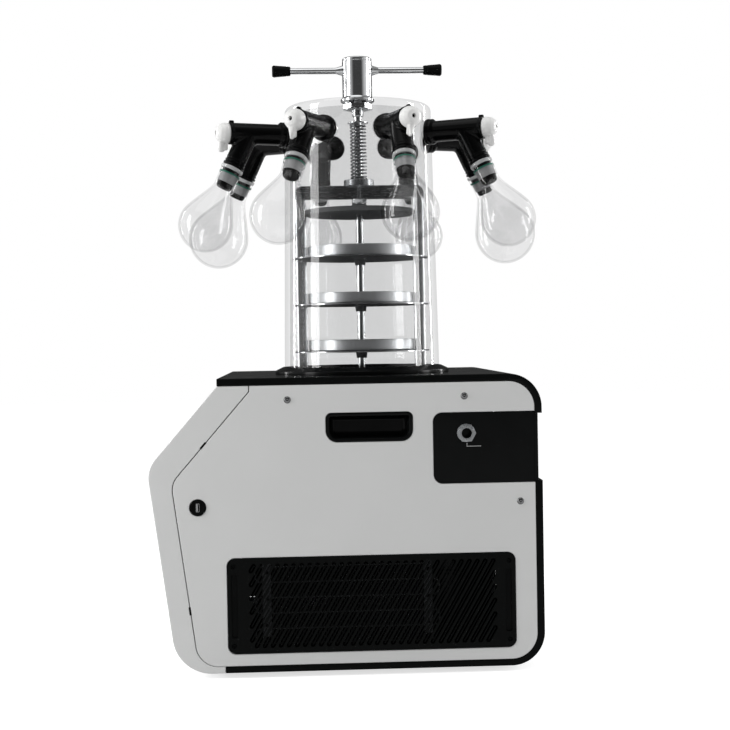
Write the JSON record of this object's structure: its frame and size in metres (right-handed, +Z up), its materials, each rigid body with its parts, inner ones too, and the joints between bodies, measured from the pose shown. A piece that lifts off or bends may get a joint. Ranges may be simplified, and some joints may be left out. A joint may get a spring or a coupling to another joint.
{
  "type": "freeze dryer",
  "caption": "Benchtop freeze dryer: black and white casing with a cold trap, clear stoppering chamber with a screw press and shelves, and rubber valves with flasks all round.",
  "frame": {"origin": "centre of the bounding box in plan, on the surface that the feet stand on", "axes": "+Z up the chamber, +X towards the side with the vacuum port, -Y towards the front with the touch screen"},
  "size_m": [0.5792, 0.6262, 0.9599],
  "materials": {
    "white_paint": "satin powder coat",
    "black_gloss": "high gloss",
    "black_plastic": "fine matt grain",
    "screen_glass": "dark glass over a switched-off display",
    "rubber": "satin moulded rubber",
    "polished_steel": "polished",
    "brushed_steel": "fine brushed",
    "clear_acrylic": "clear",
    "clear_glass": "clear, with a ground and banded neck",
    "white_plastic": "satin, slightly translucent",
    "fin_aluminium": "mill finish fins",
    "compressor_paint": "semi-gloss enamel"
  },
  "bodies": {
    "casing": {"base_ring": "black_gloss", "base_tray": "black_plastic", "chamber": "clear_acrylic", "chamber_gasket": "rubber", "cold_trap": "brushed_steel", "compressor": "compressor_paint", "condenser": "fin_aluminium", "data_socket": "black_plastic", "fan_frame": "black_plastic", "flask_1": "clear_glass", "flask_2": "clear_glass", "flask_3": "clear_glass", "flask_4": "clear_glass", "flask_5": "clear_glass", "flask_6": "clear_glass", "flask_7": "clear_glass", "flask_8": "clear_glass", "front_shell": "white_paint", "grille_left": "black_plastic", "grille_right": "black_plastic", "hand_recess_left": "black_gloss", "hand_recess_right": "black_gloss", "lid_nut": "polished_steel", "port_panel": "black_gloss", "power_inlet": "black_plastic", "press_spring": "polished_steel", "rack_frame": "brushed_steel", "shelf_1": "brushed_steel", "shelf_2": "brushed_steel", "shelf_3": "brushed_steel", "side_panel_left": "white_paint", "side_panel_right": "white_paint", "top_cover": "black_gloss", "touch_screen": "screen_glass", "tray_1": "polished_steel", "tray_2": "polished_steel", "tray_3": "polished_steel", "vacuum_port": "brushed_steel", "valve_body_1": "rubber", "valve_body_2": "rubber", "valve_body_3": "rubber", "valve_body_4": "rubber", "valve_body_5": "rubber", "valve_body_6": "rubber", "valve_body_7": "rubber", "valve_body_8": "rubber"},
    "handle": {"handle": "polished_steel", "grip_front": "black_plastic", "grip_rear": "black_plastic"},
    "press": {"press_shaft": "polished_steel", "press_plate": "brushed_steel"},
    "fan": {"fan_rotor": "black_plastic"},
    "knob_1": {"valve_knob_1": "white_plastic"},
    "knob_2": {"valve_knob_2": "white_plastic"},
    "knob_3": {"valve_knob_3": "white_plastic"},
    "knob_4": {"valve_knob_4": "white_plastic"},
    "knob_5": {"valve_knob_5": "white_plastic"},
    "knob_6": {"valve_knob_6": "white_plastic"},
    "knob_7": {"valve_knob_7": "white_plastic"},
    "knob_8": {"valve_knob_8": "white_plastic"}
  },
  "joints": [
    {"name": "handle_turn", "type": "hinge", "parent": "casing", "child": "handle", "pos_m": [0, 0.01425, 0.93], "axis": [0, 0, -1], "range_deg": [0, 1530]},
    {"name": "press_travel", "type": "slide", "parent": "casing", "child": "press", "axis": [0, 0, -1], "range_m": [0, 0.0171], "deforming": ["press_spring"]},
    {"name": "fan_spin", "type": "hinge", "parent": "casing", "child": "fan", "pos_m": [0.154, -0.02175, 0.1068], "axis": [1, 0, 0], "continuous": true},
    {"name": "valve_turn_1", "type": "hinge", "parent": "casing", "child": "knob_1", "pos_m": [0.19021, 0.07605, 0.83], "axis": [0.9511, 0.309, 0], "range_deg": [0, 180]},
    {"name": "valve_turn_2", "type": "hinge", "parent": "casing", "child": "knob_2", "pos_m": [0.0908, 0.19245, 0.83], "axis": [0.454, 0.891, 0], "range_deg": [0, 180]},
    {"name": "valve_turn_3", "type": "hinge", "parent": "casing", "child": "knob_3", "pos_m": [-0.0618, 0.20446, 0.83], "axis": [-0.309, 0.9511, 0], "range_deg": [0, 180]},
    {"name": "valve_turn_4", "type": "hinge", "parent": "casing", "child": "knob_4", "pos_m": [-0.1782, 0.10505, 0.83], "axis": [-0.891, 0.454, 0], "range_deg": [0, 180]},
    {"name": "valve_turn_5", "type": "hinge", "parent": "casing", "child": "knob_5", "pos_m": [-0.19021, -0.04756, 0.83], "axis": [-0.9511, -0.309, 0], "range_deg": [0, 180]},
    {"name": "valve_turn_6", "type": "hinge", "parent": "casing", "child": "knob_6", "pos_m": [-0.0908, -0.16395, 0.83], "axis": [-0.454, -0.891, 0], "range_deg": [0, 180]},
    {"name": "valve_turn_7", "type": "hinge", "parent": "casing", "child": "knob_7", "pos_m": [0.0618, -0.17596, 0.83], "axis": [0.309, -0.9511, 0], "range_deg": [0, 180]},
    {"name": "valve_turn_8", "type": "hinge", "parent": "casing", "child": "knob_8", "pos_m": [0.1782, -0.07655, 0.83], "axis": [0.891, -0.454, 0], "range_deg": [0, 180]}
  ],
  "couplings": [
    {"joint": "press_travel", "follows": "handle_turn", "m_per_rad": 0.00063662}
  ]
}
